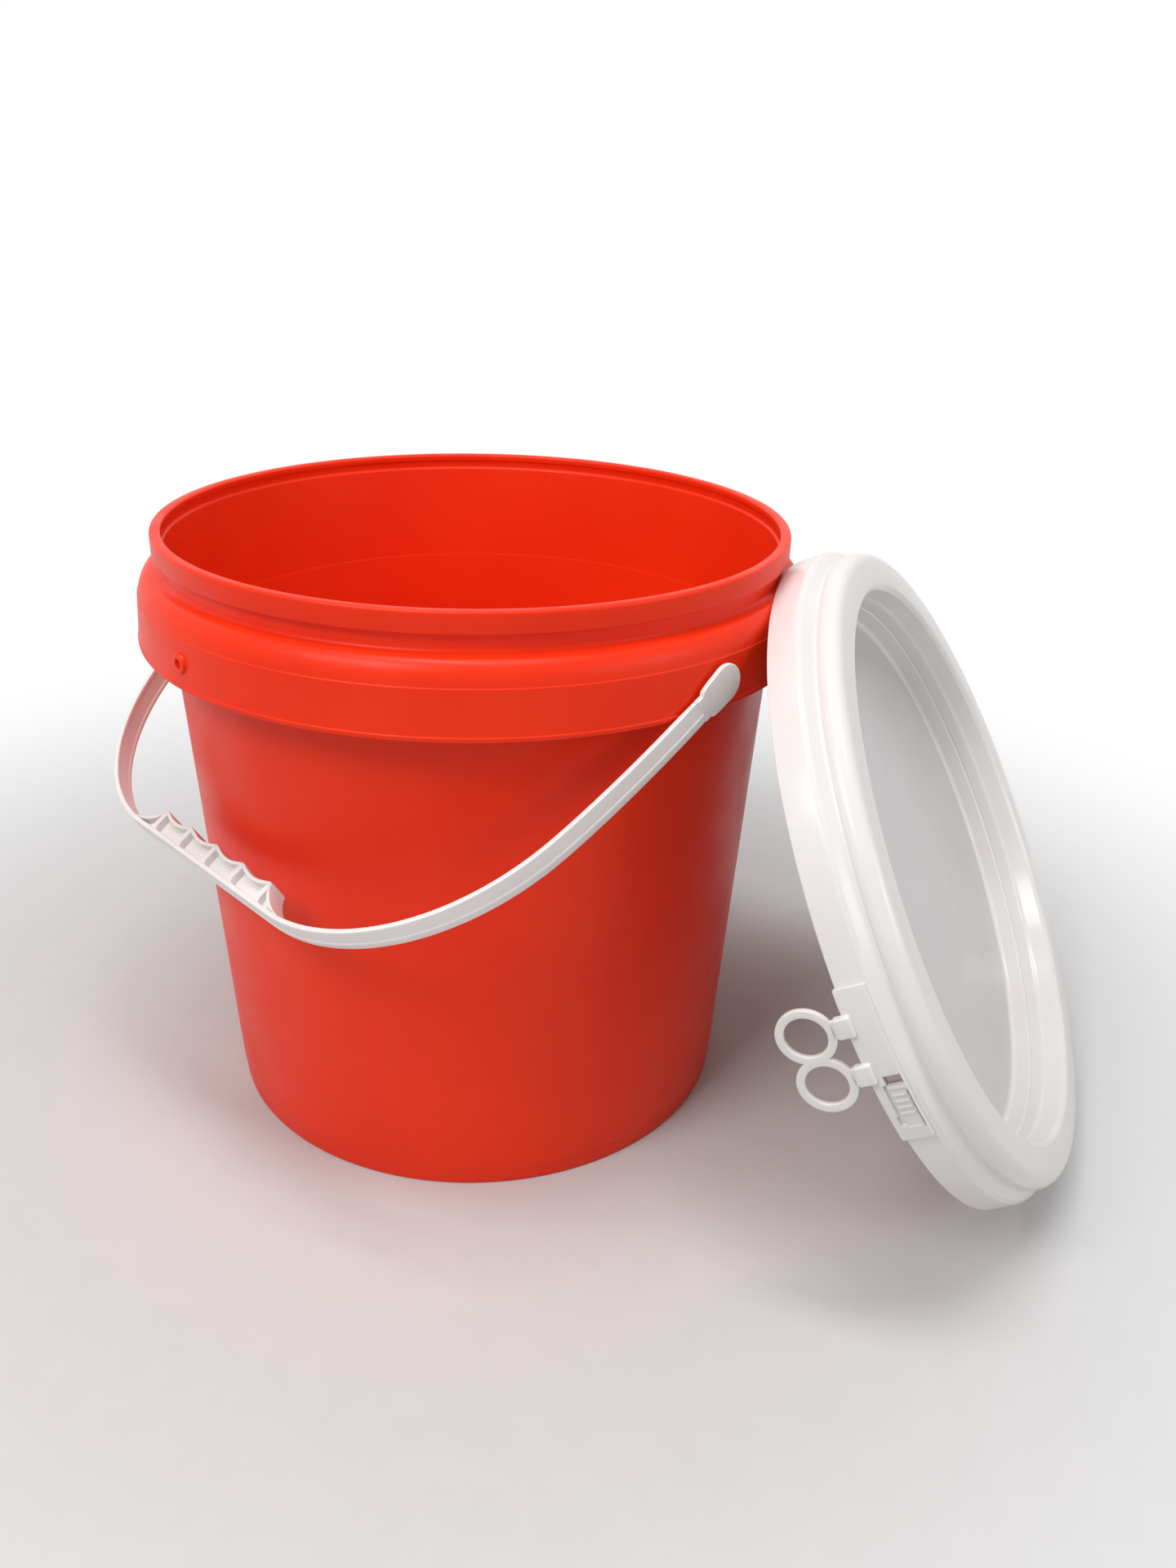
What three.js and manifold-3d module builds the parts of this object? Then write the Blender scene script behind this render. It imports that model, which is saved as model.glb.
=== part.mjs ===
import * as THREE from 'three';
import { mergeVertices } from 'three/addons/utils/BufferGeometryUtils.js';
import Module from 'manifold-3d';

// A moulded pail, its tear-band lid leaning on it, and its snap-in carrying bail.
// Millimetres, +Z up, pail axis on Z, floor at Z = 0, bail pivots on the line Y = 0.

// Pail
const PAIL_HEIGHT = 263.6;
const NECK_RADIUS = 131.5;
const WALL_TAPER = 3.37;
const WALL = 1.9;
const FLOOR_THICKNESS = 2;
const FLOOR_FILLET = 5;
const FOOT_HEIGHT = 2;
const FOOT_WIDTH = 4;
const FOOT_BAND = 8;
const FOOT_BAND_SET_IN = 0.45;
const FOOT_ROUND = 0.8;
const INNER_STEP_DROP = 51;
const INNER_STEP = 0.3;

// Rim bead and mouth
const BEAD_HEIGHT = 8.35;
const BEAD_PROUD = 2.5;
const BEAD_ROUND = 1.4;
const LIP_DEPTH = 3;
const LIP_UNDERCUT = 0.5;
const UNDERCUT_DEPTH = 3.4;
const MOUTH_SET_IN = 1.5;

// Collar: shoulder and hanging skirt
const NECK_HEIGHT = 5.4;
const SHOULDER_HEIGHT = 11.6;
const SKIRT_TOP_PROUD = 9.7;
const SKIRT_DROP = 19.3;
const SKIRT_FLARE = 1.25;
const SKIRT_LIP_HEIGHT = 1.8;
const SKIRT_LIP_PROUD = 0.2;
const COLLAR_WALL = 1.8;
const WEB_COUNT = 20;
const WEB_THICKNESS = 1.4;
const WEB_RAISE = 4;
const WEB_SINK = 0.8;

// Marker boss on the skirt, a quarter turn from the pivots
const MARK_RADIUS = 4;
const MARK_HOLE_RADIUS = 2;
const MARK_PROUD = 1.3;
const MARK_HOLE_DEPTH = 2;

// Bail pivots
const PIVOT_DROP = 34.4;
const PIN_RADIUS = 4.3;
const PIN_CLEARANCE = 0.55;
const PIN_HEAD_RADIUS = 5.5;
const PIN_TIP_RADIUS = 4;
const PIN_HEAD_LENGTH = 3.2;
const PIN_END_GAP = 0.35;
const PIVOT_BOSS_WIDTH = 3;
const PIVOT_BOSS_LENGTH = 2;

// Bail
const BAIL_HANG = 57.88;
const BAIL_WIDTH = 10.5;
const BAIL_THICKNESS = 2.6;
const BAIL_RIDGE = 0.35;
const BAIL_RIDGE_SHIFT = 1.6;
const BAIL_HOLLOW = 0.35;
const BAIL_HOLLOW_MARGIN = 1.6;
const EYE_RADIUS = 7.7;
const EYE_THICKNESS = 1.95;
const EYE_GAP = 0.35;
const EYE_NECK = 10;
const ARM_DEPTH = 94.5;
const ARM_DRAW_IN = 9.3;
const ARM_LEAN = 14.6;
const BAIL_REACH = 24.3;
const BEND_START = 38;
const BEND_END = 37;

// Finger grip
const STRIP_HALF_LENGTH = 50;
const FINGER_PITCH = 20;
const FINGER_PEAKS = 5;
const GRIP_DEPTH = 11.8;
const FINGER_HOLLOW = 2.4;
const PEAK_SOFTNESS = 0.15;
const GRIP_WALL = 1.7;
const GRIP_END_RUN = 21;

// Lid
const LID_RADIUS = 142.74;
const LID_HEIGHT = 26.3;
const LID_WALL = 1.7;
const BAND_HEIGHT = 11.6;
const BAND_TAPER = 0.7;
const BAND_LEDGE = 2.8;
const SNAP_GROOVE_RADIUS = 136.9;
const SNAP_GROOVE_HEIGHT = 17.2;
const SNAP_REACH = 2;
const LID_SHOULDER_RADIUS = 137.2;
const FLANGE_RADIUS = 134;
const FLANGE_INNER_RADIUS = 121.15;
const FLANGE_CROWN = 0.5;
const PANEL_RADIUS = 118.2;
const PANEL_LEVEL = 2.6;
const PANEL_ROUND = 2;
const DISH_STEP_HEIGHT = 17;
const DISH_STEP = 0.7;
const DISH_LINE_HEIGHT = 11;
const DISH_LINE = 0.4;
const PLUG_RADIUS = 123;

// Lean of the lid
const LEAN_AZIMUTH = 26.92;
const LEAN_SIDE_SHIFT = 13.4;
const LEAN_GAP = 1.3;
const LEAN_SEAT = 3.65;

// Tear tab on the lid's band
const PAD_FROM = -100.3;
const PAD_TO = -74.1;
const PAD_LOW = -0.7;
const PAD_HIGH = 10.9;
const PAD_PROUD = 1.3;
const PULL_AT = -90.1;
const PULL_RING_RADIUS = 11.75;
const PULL_HOLE_RADIUS = 8.1;
const PULL_RING_OFFSET = 10;
const PULL_RING_LEVEL = -15.6;
const PULL_THICKNESS = 2.2;
const TAB_WIDTH = 9.4;
const TAB_SHIFT = -1.3;
const TAB_PITCH = 19.4;
const TAB_TOP = 2.2;
const TAB_RAISE = 1.3;
const TAB_BLOCK_HEIGHT = 6.3;
const WINDOW_AT = -84.45;
const WINDOW_WIDTH = 3.4;
const WINDOW_LOW = 4.2;
const WINDOW_HEIGHT = 6.2;
const SLOT_WIDTH = 1.1;
const SLOT_DEPTH = 1.2;
const TONGUE_TO = -75.4;
const TONGUE_LOW = 3.4;
const TONGUE_HIGH = 9.8;
const TONGUE_RIBS = 4;
const TONGUE_RIB_FROM = -82.6;
const TONGUE_RIB_STEP = 1.15;
const TONGUE_RIB_PROUD = 0.6;
const TONGUE_RIB_WIDTH = 0.9;

// Fineness
const TURN_STEPS = 72;
const ROUND_STEPS = 24;
const CURVE_STEPS = 3;
const ARM_STEPS = 7;
const BEND_STEPS = 13;

// Small overlap that fuses pieces of one moulding
const FUSE = 0.5;

const wasm = await Module();
wasm.setup();

const rad = THREE.MathUtils.degToRad;
const tan = (degrees) => Math.tan(rad(degrees));
const sin = (degrees) => Math.sin(rad(degrees));
const cos = (degrees) => Math.cos(rad(degrees));

// Levels and radii that follow from the sizes above
const beadBottom = PAIL_HEIGHT - BEAD_HEIGHT;
const neckBottom = beadBottom - NECK_HEIGHT;
const skirtTop = neckBottom - SHOULDER_HEIGHT;
const skirtBottom = skirtTop - SKIRT_DROP;
const beadRadius = NECK_RADIUS + BEAD_PROUD;
const mouthRadius = NECK_RADIUS - MOUTH_SET_IN;
const skirtTopRadius = NECK_RADIUS + SKIRT_TOP_PROUD;
const pivotHeight = PAIL_HEIGHT - PIVOT_DROP;
const floorTop = FOOT_HEIGHT + FLOOR_THICKNESS;
const innerStepHeight = PAIL_HEIGHT - INNER_STEP_DROP;
const wallRadius = (z) => NECK_RADIUS - (neckBottom - z) * tan(WALL_TAPER) - FUSE;
const skirtRadius = (z) => skirtTopRadius + SKIRT_FLARE * (skirtTop - z) / SKIRT_DROP;
const skirtEdgeRadius = skirtRadius(skirtBottom) + SKIRT_LIP_PROUD;
const holeRadius = PIN_RADIUS + PIN_CLEARANCE;

function welded(geometry) {
  const bare = geometry.clone();
  bare.deleteAttribute('normal');
  bare.deleteAttribute('uv');
  const merged = mergeVertices(bare, 1e-4);
  const index = merged.index.array;
  const kept = [];
  for (let i = 0; i < index.length; i += 3) {
    const [a, b, c] = [index[i], index[i + 1], index[i + 2]];
    if (a !== b && b !== c && c !== a) {
      kept.push(a, b, c);
    }
  }
  merged.setIndex(kept);
  return merged;
}

function solid(geometry) {
  const merged = welded(geometry);
  return new wasm.Manifold(new wasm.Mesh({
    numProp: 3,
    vertProperties: new Float32Array(merged.attributes.position.array),
    triVerts: new Uint32Array(merged.index.array),
  }));
}

function named(name, body, material, matrix) {
  const made = body.getMesh();
  const geometry = new THREE.BufferGeometry();
  geometry.setAttribute('position', new THREE.Float32BufferAttribute(made.vertProperties, 3));
  geometry.setIndex(Array.from(made.triVerts));
  geometry.applyMatrix4(matrix);
  const mesh = new THREE.Mesh(geometry, material);
  mesh.name = name;
  return mesh;
}

function turned(path) {
  const points = path.getPoints(CURVE_STEPS);
  return solid(new THREE.LatheGeometry(points, TURN_STEPS).rotateX(Math.PI / 2));
}

function shapeOf(points) {
  return new THREE.Shape(points.map(([x, y]) => new THREE.Vector2(x, y)));
}

function slab(shape, depth) {
  return new THREE.ExtrudeGeometry(shape, { depth, bevelEnabled: false, curveSegments: ROUND_STEPS });
}

// A round bar along X from one place to another, with its own radius at each end
function barAlongX(from, to, fromRadius, toRadius, z) {
  const bar = new THREE.CylinderGeometry(toRadius, fromRadius, to - from, ROUND_STEPS);
  bar.rotateZ(-Math.PI / 2);
  bar.translate((from + to) / 2, 0, z);
  return bar;
}

// Pail

function pailOutline() {
  const footOuter = wallRadius(FOOT_BAND) - FOOT_BAND_SET_IN - FOOT_BAND * tan(WALL_TAPER);
  const footInner = footOuter - FOOT_WIDTH;
  const skirtInner = (z) => skirtRadius(z) - COLLAR_WALL;
  const underTop = neckBottom - COLLAR_WALL * 2;
  const crown = skirtTopRadius - NECK_RADIUS;
  const lipBottom = PAIL_HEIGHT - LIP_DEPTH;
  const undercutBottom = lipBottom - UNDERCUT_DEPTH;
  const innerWall = (z) => wallRadius(z) - WALL;
  const p = new THREE.Path();
  p.moveTo(0, FOOT_HEIGHT);
  p.lineTo(footInner - FOOT_HEIGHT / 2, FOOT_HEIGHT);
  p.lineTo(footInner, 0);
  p.lineTo(footOuter - FOOT_ROUND, 0);
  p.quadraticCurveTo(footOuter, 0, footOuter + FOOT_ROUND * tan(WALL_TAPER), FOOT_ROUND);
  p.lineTo(wallRadius(FOOT_BAND) - FOOT_BAND_SET_IN, FOOT_BAND);
  p.lineTo(wallRadius(FOOT_BAND), FOOT_BAND + FOOT_BAND_SET_IN);
  p.lineTo(wallRadius(underTop), underTop);
  p.lineTo(NECK_RADIUS + crown * 0.3, underTop - COLLAR_WALL / 3);
  p.quadraticCurveTo(NECK_RADIUS + crown * 0.62, underTop - COLLAR_WALL, skirtInner(skirtTop), skirtTop);
  p.lineTo(skirtInner(skirtBottom), skirtBottom);
  p.lineTo(skirtEdgeRadius, skirtBottom);
  p.lineTo(skirtEdgeRadius, skirtBottom + SKIRT_LIP_HEIGHT);
  p.lineTo(skirtRadius(skirtBottom + SKIRT_LIP_HEIGHT), skirtBottom + SKIRT_LIP_HEIGHT + SKIRT_LIP_PROUD);
  p.lineTo(skirtTopRadius, skirtTop);
  p.lineTo(skirtTopRadius - SKIRT_LIP_PROUD, skirtTop + SKIRT_LIP_PROUD);
  p.quadraticCurveTo(
    skirtTopRadius - crown * 0.2, neckBottom - COLLAR_WALL * 2.2,
    NECK_RADIUS + crown * 0.42, neckBottom - COLLAR_WALL * 1.4);
  p.quadraticCurveTo(NECK_RADIUS, neckBottom - COLLAR_WALL * 1.1, NECK_RADIUS, neckBottom);
  p.lineTo(NECK_RADIUS, beadBottom);
  p.lineTo(beadRadius, beadBottom);
  p.lineTo(beadRadius, PAIL_HEIGHT - BEAD_ROUND);
  p.quadraticCurveTo(beadRadius, PAIL_HEIGHT, beadRadius - BEAD_ROUND, PAIL_HEIGHT);
  p.lineTo(mouthRadius + LIP_UNDERCUT, PAIL_HEIGHT);
  p.lineTo(mouthRadius - LIP_UNDERCUT, PAIL_HEIGHT - LIP_UNDERCUT);
  p.lineTo(mouthRadius - LIP_UNDERCUT, lipBottom);
  p.lineTo(mouthRadius, lipBottom - LIP_UNDERCUT);
  p.lineTo(mouthRadius, undercutBottom);
  p.lineTo(innerWall(neckBottom), undercutBottom - LIP_UNDERCUT);
  p.lineTo(innerWall(innerStepHeight), innerStepHeight);
  p.lineTo(innerWall(innerStepHeight) - INNER_STEP, innerStepHeight - INNER_STEP);
  const filletTop = innerWall(floorTop + FLOOR_FILLET) - INNER_STEP;
  p.lineTo(filletTop, floorTop + FLOOR_FILLET);
  p.quadraticCurveTo(filletTop, floorTop, filletTop - FLOOR_FILLET, floorTop);
  p.lineTo(0, floorTop);
  return p;
}

// Upright web that ties the skirt to the wall, hidden behind the skirt
function collarWeb(angle) {
  const low = skirtBottom + WEB_RAISE;
  const high = neckBottom - COLLAR_WALL * 2 + WEB_SINK;
  const inner = (z) => wallRadius(z) - WEB_SINK;
  const outer = (z) => skirtRadius(z) - COLLAR_WALL + WEB_SINK;
  const web = slab(shapeOf([
    [inner(low), low],
    [outer(low), low],
    [outer(skirtTop), skirtTop],
    [inner(high) + SKIRT_TOP_PROUD / 2, high],
    [inner(high), high],
  ]), WEB_THICKNESS);
  web.translate(0, 0, -WEB_THICKNESS / 2);
  web.rotateX(Math.PI / 2);
  web.rotateZ(rad(angle));
  return solid(web);
}

function pivotBoss(side) {
  const boss = barAlongX(
    bossBack, skirtRadius(pivotHeight) - COLLAR_WALL / 2,
    holeRadius + PIVOT_BOSS_WIDTH, holeRadius + PIVOT_BOSS_WIDTH, pivotHeight);
  boss.rotateZ(side > 0 ? 0 : Math.PI);
  return solid(boss);
}

function pivotHole(side) {
  const hole = barAlongX(bossBack - FUSE, skirtEdgeRadius + FUSE, holeRadius, holeRadius, pivotHeight);
  hole.rotateZ(side > 0 ? 0 : Math.PI);
  return solid(hole);
}

function markBar(radius, from, to, side) {
  const bar = barAlongX(from, to, radius, radius, pivotHeight);
  bar.rotateZ(side * Math.PI / 2);
  return solid(bar);
}

const bossBack = skirtTopRadius - COLLAR_WALL - PIVOT_BOSS_LENGTH;

function pail() {
  const markFace = skirtRadius(pivotHeight) + MARK_PROUD;
  let body = turned(pailOutline());
  for (let i = 0; i < WEB_COUNT; i += 1) {
    body = body.add(collarWeb((i + 0.5) * 360 / WEB_COUNT));
  }
  for (const side of [1, -1]) {
    body = body.add(pivotBoss(side)).subtract(pivotHole(side));
    body = body.add(markBar(MARK_RADIUS, skirtRadius(pivotHeight) - COLLAR_WALL / 2, markFace, side));
    body = body.subtract(markBar(MARK_HOLE_RADIUS, markFace - MARK_HOLE_DEPTH, markFace + FUSE, side));
  }
  return body;
}

// Bail, drawn in its own plane: x along the pivot line, y away from it, z across the ribbon

const eyeInner = skirtEdgeRadius + EYE_GAP;
const eyeOuter = eyeInner + EYE_THICKNESS;
const bailDepth = eyeInner + BAIL_REACH;

function bailOuterPoints() {
  const start = new THREE.Vector2(eyeOuter, -EYE_NECK);
  const knee = new THREE.Vector2(eyeOuter - ARM_DRAW_IN, -ARM_DEPTH);
  const end = new THREE.Vector2(STRIP_HALF_LENGTH, -bailDepth);
  const along = new THREE.Vector2(-sin(ARM_LEAN), -cos(ARM_LEAN));
  const arm = new THREE.CubicBezierCurve(
    start, new THREE.Vector2(eyeOuter, start.y - ARM_DEPTH / 4),
    knee.clone().addScaledVector(along, -ARM_DEPTH / 5), knee);
  const bend = new THREE.CubicBezierCurve(
    knee, knee.clone().addScaledVector(along, BEND_START + BEND_END / 5),
    new THREE.Vector2(end.x + BEND_END, end.y), end);
  const half = arm.getPoints(ARM_STEPS).concat(bend.getPoints(BEND_STEPS).slice(1));
  const other = half.map((p) => new THREE.Vector2(-p.x, p.y)).reverse();
  return half.concat(other);
}

function inwardNormals(points) {
  return points.map((p, i) => {
    const before = points[Math.max(i - 1, 0)];
    const after = points[Math.min(i + 1, points.length - 1)];
    const run = after.clone().sub(before).normalize();
    return new THREE.Vector2(run.y, -run.x);
  });
}

function ribbonSection(thickness) {
  const half = BAIL_WIDTH / 2;
  const hollow = half - BAIL_HOLLOW_MARGIN;
  return [
    [BAIL_RIDGE, half],
    [0, -BAIL_RIDGE_SHIFT],
    [BAIL_RIDGE, -half],
    [thickness, -half],
    [thickness, -hollow],
    [thickness - BAIL_HOLLOW, -hollow + BAIL_HOLLOW * 2],
    [thickness - BAIL_HOLLOW, hollow - BAIL_HOLLOW * 2],
    [thickness, hollow],
    [thickness, half],
  ];
}

function ribbon(points) {
  const normals = inwardNormals(points);
  const thicknessAt = (p) => {
    const reach = (-p.y - EYE_NECK) / (EYE_NECK * 1.5);
    return THREE.MathUtils.lerp(EYE_THICKNESS, BAIL_THICKNESS, THREE.MathUtils.clamp(reach, 0, 1));
  };
  const count = ribbonSection(1).length;
  const positions = [];
  const index = [];
  points.forEach((p, i) => {
    for (const [depth, across] of ribbonSection(thicknessAt(p))) {
      positions.push(p.x + normals[i].x * depth, p.y + normals[i].y * depth, across);
    }
  });
  for (let i = 0; i + 1 < points.length; i += 1) {
    for (let j = 0; j < count; j += 1) {
      const a = i * count + j;
      const b = i * count + (j + 1) % count;
      index.push(a, b, b + count, a, b + count, a + count);
    }
  }
  const section = ribbonSection(1).map(([x, y]) => new THREE.Vector2(x, y));
  const last = (points.length - 1) * count;
  for (const [a, b, c] of THREE.ShapeUtils.triangulateShape(section, [])) {
    index.push(a, c, b, last + a, last + b, last + c);
  }
  const geometry = new THREE.BufferGeometry();
  geometry.setAttribute('position', new THREE.Float32BufferAttribute(positions, 3));
  geometry.setIndex(index);
  const made = solid(geometry);
  return made.volume() > 0 ? made : solid(flipped(geometry));
}

function flipped(geometry) {
  const index = geometry.index.array;
  const turnedOver = [];
  for (let i = 0; i < index.length; i += 3) {
    turnedOver.push(index[i], index[i + 2], index[i + 1]);
  }
  const copy = geometry.clone();
  copy.setIndex(turnedOver);
  return copy;
}

function bailEye() {
  const half = BAIL_WIDTH / 2;
  const lean = Math.asin((half + 1) / EYE_RADIUS);
  const shape = new THREE.Shape();
  shape.absarc(0, 0, EYE_RADIUS, lean, Math.PI * 2 - lean, false);
  shape.lineTo(EYE_NECK, -half);
  shape.lineTo(EYE_NECK + half, -half);
  shape.lineTo(EYE_NECK + half, half);
  shape.lineTo(EYE_NECK, half);
  const plate = slab(shape, EYE_THICKNESS);
  // shape x runs down the arm, shape y across the ribbon, depth along the pivot line
  plate.applyMatrix4(new THREE.Matrix4().makeBasis(
    new THREE.Vector3(0, -1, 0), new THREE.Vector3(0, 0, -1), new THREE.Vector3(1, 0, 0)));
  plate.translate(eyeInner, 0, 0);
  return solid(plate);
}

function bailPin() {
  const headFace = bossBack - PIN_END_GAP;
  const shank = barAlongX(headFace - FUSE, eyeInner + FUSE, PIN_RADIUS, PIN_RADIUS, 0);
  const head = barAlongX(headFace - PIN_HEAD_LENGTH, headFace, PIN_TIP_RADIUS, PIN_HEAD_RADIUS, 0);
  return solid(shank).add(solid(head));
}

const gripInner = bailDepth - GRIP_DEPTH;
const lastPeak = FINGER_PITCH * (FINGER_PEAKS - 1) / 2;

function fingerDepth(x) {
  const wave = Math.sin(Math.PI * (x + lastPeak) / FINGER_PITCH);
  const soft = Math.sqrt(wave * wave + PEAK_SOFTNESS * PEAK_SOFTNESS) - PEAK_SOFTNESS;
  return gripInner + FINGER_HOLLOW * soft;
}

function scallops(from, to, extra, steps) {
  const line = [];
  for (let i = 0; i <= steps; i += 1) {
    const x = from + (to - from) * i / steps;
    line.push(new THREE.Vector2(x, -fingerDepth(x) - extra));
  }
  return line;
}

function gripEnd(inset) {
  const strip = -bailDepth + BAIL_THICKNESS;
  return new THREE.CubicBezierCurve(
    new THREE.Vector2(lastPeak + inset / 2, -gripInner - inset),
    new THREE.Vector2(lastPeak + GRIP_END_RUN / 2 - inset, -gripInner - inset / 2),
    new THREE.Vector2(lastPeak + GRIP_END_RUN / 2 - inset / 2, strip + BAIL_THICKNESS - inset / 2),
    new THREE.Vector2(lastPeak + GRIP_END_RUN - inset * 2, strip)).getPoints(BEND_STEPS / 2);
}

function mirrored(points) {
  return points.map((p) => new THREE.Vector2(-p.x, p.y)).reverse();
}

function gripBlock() {
  const seat = -bailDepth + BAIL_THICKNESS / 2;
  const end = gripEnd(0);
  const reach = end[end.length - 1].x;
  const outline = scallops(-lastPeak, lastPeak, 0, (FINGER_PEAKS - 1) * 8);
  outline.push(...end.slice(1));
  outline.push(new THREE.Vector2(reach, seat + FUSE));
  outline.push(new THREE.Vector2(STRIP_HALF_LENGTH, seat));
  outline.push(new THREE.Vector2(-STRIP_HALF_LENGTH, seat));
  outline.push(new THREE.Vector2(-reach, seat + FUSE));
  outline.push(...mirrored(end.slice(1)));
  const width = BAIL_WIDTH - BAIL_HOLLOW;
  const block = slab(new THREE.Shape(outline.reverse()), width);
  block.translate(0, 0, -width / 2);
  return solid(block);
}

function gripPocket(outline, face) {
  const depth = BAIL_WIDTH / 2;
  const pocket = slab(new THREE.Shape(outline), depth);
  pocket.translate(0, 0, face > 0 ? GRIP_WALL / 2 : -GRIP_WALL / 2 - depth);
  return solid(pocket);
}

function grip() {
  const strip = -bailDepth + BAIL_THICKNESS;
  const foot = GRIP_WALL * 0.8;
  let body = gripBlock();
  const endLine = gripEnd(GRIP_WALL);
  const endPocket = [new THREE.Vector2(lastPeak + GRIP_WALL / 2, strip)].concat(endLine);
  for (const face of [1, -1]) {
    for (let i = 0; i + 1 < FINGER_PEAKS; i += 1) {
      const from = -lastPeak + FINGER_PITCH * i + GRIP_WALL / 2;
      const to = from + FINGER_PITCH - GRIP_WALL;
      const outline = scallops(from, to, GRIP_WALL, 6);
      outline.push(new THREE.Vector2(to, strip + foot));
      outline.push(new THREE.Vector2(to - foot, strip));
      outline.push(new THREE.Vector2(from + foot, strip));
      outline.push(new THREE.Vector2(from, strip + foot));
      body = body.subtract(gripPocket(outline, face));
    }
    body = body.subtract(gripPocket(endPocket, face));
    body = body.subtract(gripPocket(mirrored(endPocket), face));
  }
  return body;
}

function bail() {
  let body = ribbon(bailOuterPoints()).add(grip());
  for (const turn of [0, Math.PI]) {
    const spin = [0, turn === 0 ? 0 : 180, 0];
    body = body.add(bailEye().rotate(spin));
    body = body.add(bailPin().rotate(spin));
  }
  return body;
}

function bailMatrix() {
  const down = new THREE.Vector3(0, -sin(BAIL_HANG), -cos(BAIL_HANG));
  const across = new THREE.Vector3(0, -cos(BAIL_HANG), sin(BAIL_HANG));
  const matrix = new THREE.Matrix4().makeBasis(new THREE.Vector3(1, 0, 0), down.negate(), across);
  return matrix.setPosition(0, 0, pivotHeight);
}

// Lid, drawn on its own axis with the skirt's edge at level 0

function lidOutline() {
  const bandTop = LID_RADIUS - BAND_TAPER;
  const grooveInner = SNAP_GROOVE_RADIUS - LID_WALL;
  const channelTop = LID_HEIGHT - LID_WALL;
  const dishTop = PANEL_RADIUS + DISH_STEP * 2;
  const p = new THREE.Path();
  p.moveTo(0, PANEL_LEVEL - LID_WALL);
  p.lineTo(PANEL_RADIUS, PANEL_LEVEL - LID_WALL);
  p.quadraticCurveTo(
    PANEL_RADIUS + LID_WALL, PANEL_LEVEL - LID_WALL, PANEL_RADIUS + LID_WALL * 1.3, PANEL_LEVEL + PANEL_ROUND);
  p.lineTo(PLUG_RADIUS, channelTop - LID_WALL);
  p.quadraticCurveTo(PLUG_RADIUS, channelTop, PLUG_RADIUS + LID_WALL, channelTop);
  p.lineTo(FLANGE_RADIUS - LID_WALL, channelTop);
  p.quadraticCurveTo(FLANGE_RADIUS, channelTop, grooveInner, SNAP_GROOVE_HEIGHT + LID_WALL);
  p.lineTo(grooveInner - SNAP_REACH, SNAP_GROOVE_HEIGHT);
  p.lineTo(grooveInner, SNAP_GROOVE_HEIGHT - LID_WALL);
  p.lineTo(bandTop - LID_WALL, BAND_HEIGHT - LID_WALL);
  p.lineTo(LID_RADIUS - LID_WALL, 0);
  p.lineTo(LID_RADIUS, 0);
  p.lineTo(bandTop, BAND_HEIGHT);
  p.quadraticCurveTo(bandTop, BAND_HEIGHT + LID_WALL, bandTop - BAND_LEDGE, BAND_HEIGHT + BAND_LEDGE);
  p.quadraticCurveTo(SNAP_GROOVE_RADIUS, SNAP_GROOVE_HEIGHT - 1, SNAP_GROOVE_RADIUS, SNAP_GROOVE_HEIGHT);
  p.quadraticCurveTo(
    LID_SHOULDER_RADIUS + LID_WALL, SNAP_GROOVE_HEIGHT + LID_WALL,
    LID_SHOULDER_RADIUS, SNAP_GROOVE_HEIGHT + LID_WALL * 3);
  p.quadraticCurveTo(LID_SHOULDER_RADIUS - 1, LID_HEIGHT, FLANGE_RADIUS - 1, LID_HEIGHT);
  p.quadraticCurveTo(
    (FLANGE_RADIUS + FLANGE_INNER_RADIUS) / 2, LID_HEIGHT + FLANGE_CROWN, FLANGE_INNER_RADIUS + 1, LID_HEIGHT);
  p.quadraticCurveTo(FLANGE_INNER_RADIUS, LID_HEIGHT, dishTop, LID_HEIGHT - LID_WALL);
  p.lineTo(PANEL_RADIUS + DISH_STEP, DISH_STEP_HEIGHT);
  p.lineTo(PANEL_RADIUS, DISH_STEP_HEIGHT - DISH_STEP);
  p.lineTo(PANEL_RADIUS, DISH_LINE_HEIGHT);
  p.lineTo(PANEL_RADIUS + DISH_LINE, DISH_LINE_HEIGHT - DISH_LINE);
  p.lineTo(PANEL_RADIUS - DISH_LINE, DISH_LINE_HEIGHT - DISH_LINE * 2);
  p.lineTo(PANEL_RADIUS - DISH_LINE, PANEL_LEVEL + PANEL_ROUND);
  p.quadraticCurveTo(PANEL_RADIUS - DISH_LINE, PANEL_LEVEL, PANEL_RADIUS - PANEL_ROUND, PANEL_LEVEL);
  p.lineTo(0, PANEL_LEVEL);
  return p;
}

// Places a slab drawn with x round the band, y up the lid's axis and z out of the band
function onBand(geometry, angle, radius) {
  const out = new THREE.Vector3(cos(angle), sin(angle), 0);
  const around = new THREE.Vector3(-sin(angle), cos(angle), 0);
  const matrix = new THREE.Matrix4().makeBasis(around, new THREE.Vector3(0, 0, 1), out);
  geometry.applyMatrix4(matrix.setPosition(out.multiplyScalar(radius)));
  return solid(geometry);
}

function bandBlock(angle, width, low, high, from, to) {
  const block = new THREE.BoxGeometry(width, high - low, to - from);
  block.translate(0, (low + high) / 2, (from + to) / 2);
  return onBand(block, angle, 0);
}

// Length of band between two angles
const along = (from, to) => LID_RADIUS * rad(to - from);

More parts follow.
